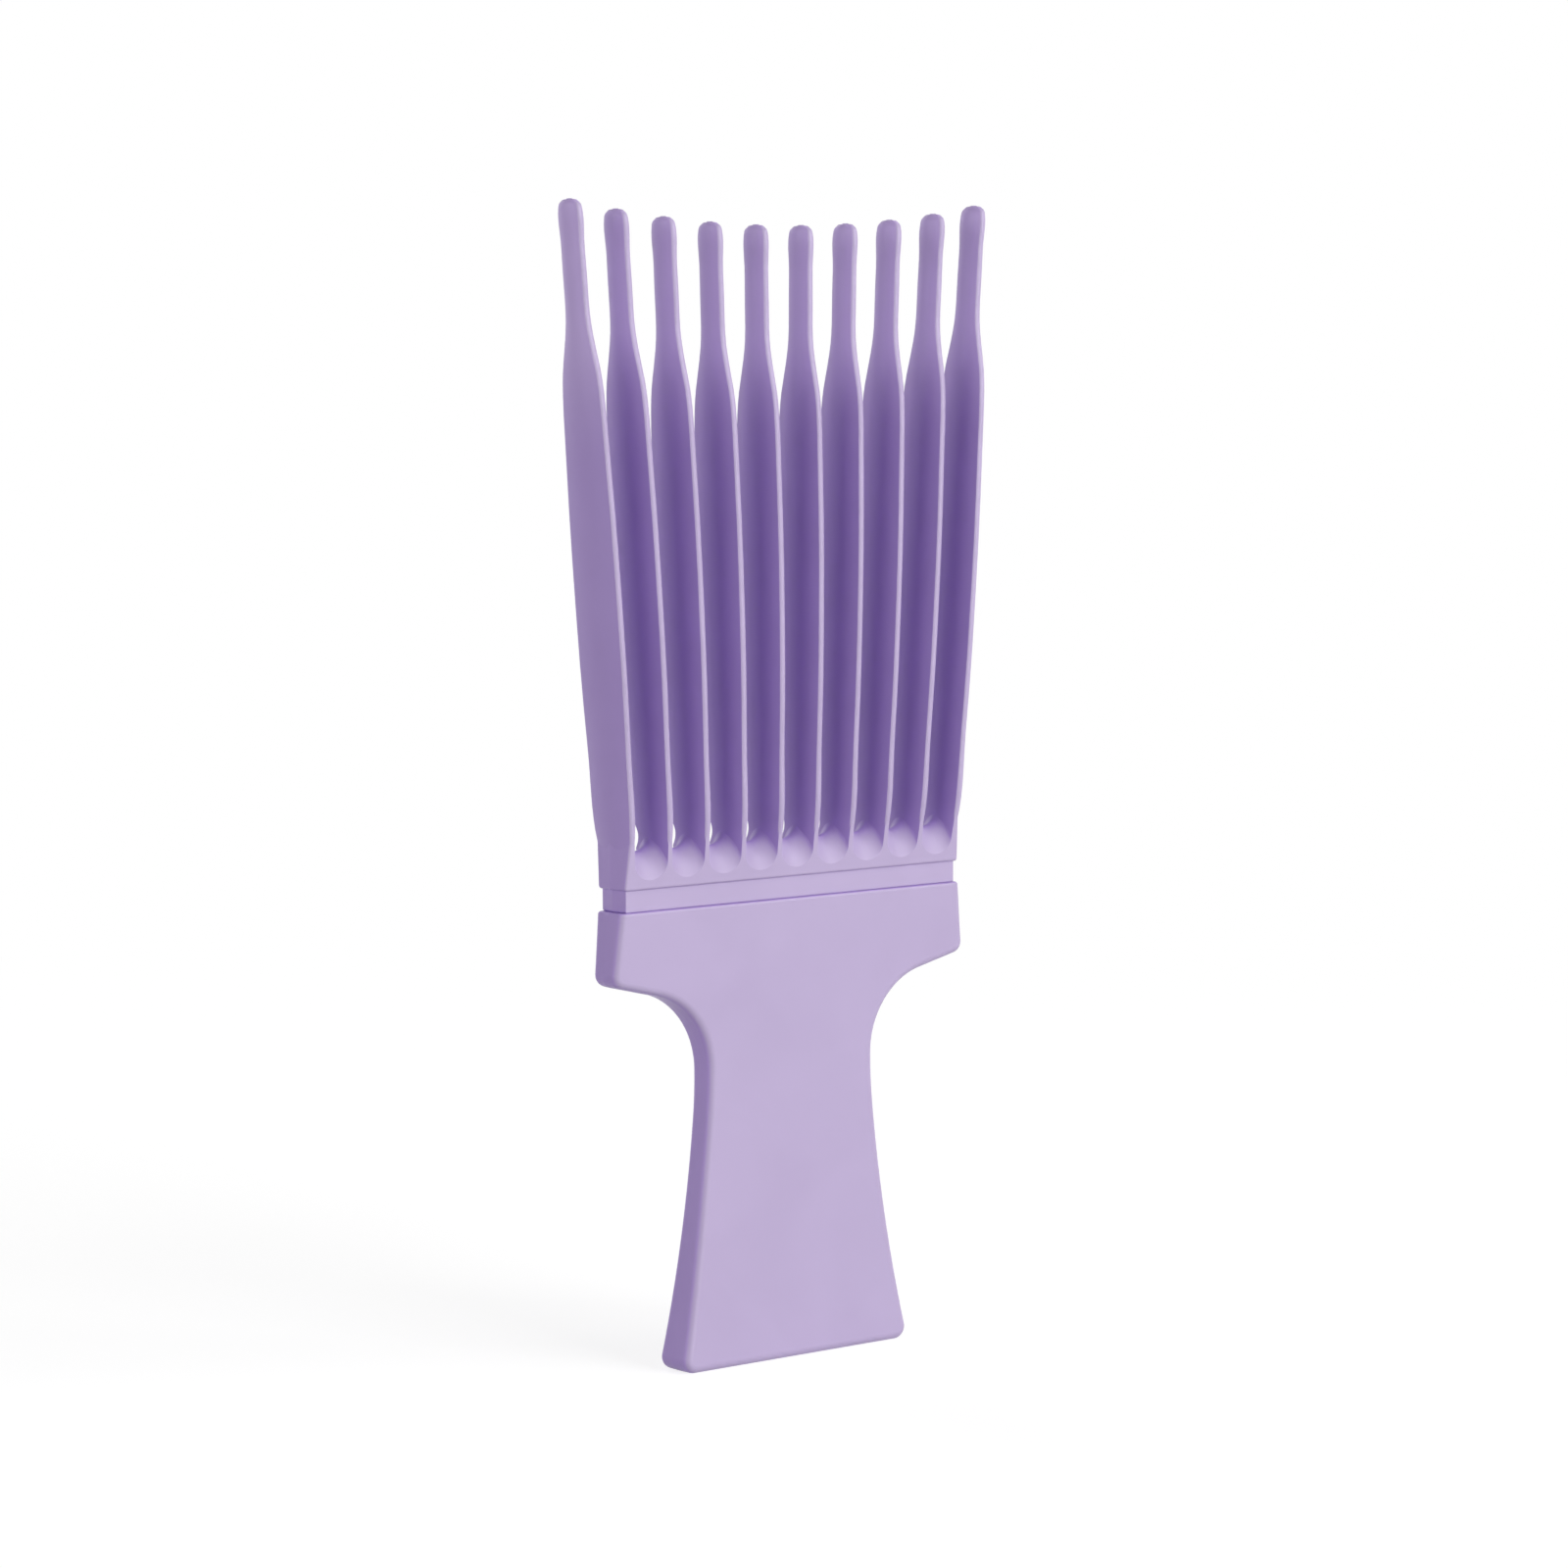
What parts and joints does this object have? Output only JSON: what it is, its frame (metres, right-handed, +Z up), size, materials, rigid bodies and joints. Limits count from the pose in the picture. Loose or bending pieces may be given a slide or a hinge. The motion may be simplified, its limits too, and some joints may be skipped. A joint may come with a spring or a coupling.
{
  "type": "afro pick",
  "caption": "Tall plastic hair pick: long fanned teeth over a flat handle with wide shoulders, finger cut-ins, a slim waist and a flared foot that it stands on.",
  "frame": {"origin": "middle of the flat foot's underside, under the middle of the pick", "axes": "+X across the width towards the right in the front view, +Y from the front face to the back, +Z up from the foot to the tooth tips"},
  "size_m": [0.0912, 0.0122, 0.2005],
  "materials": {
    "lilac_plastic": "moulded, satin to gloss, lilac"
  },
  "bodies": {
    "root": {"handle": "lilac_plastic", "comb_head": "lilac_plastic"}
  },
  "joints": []
}
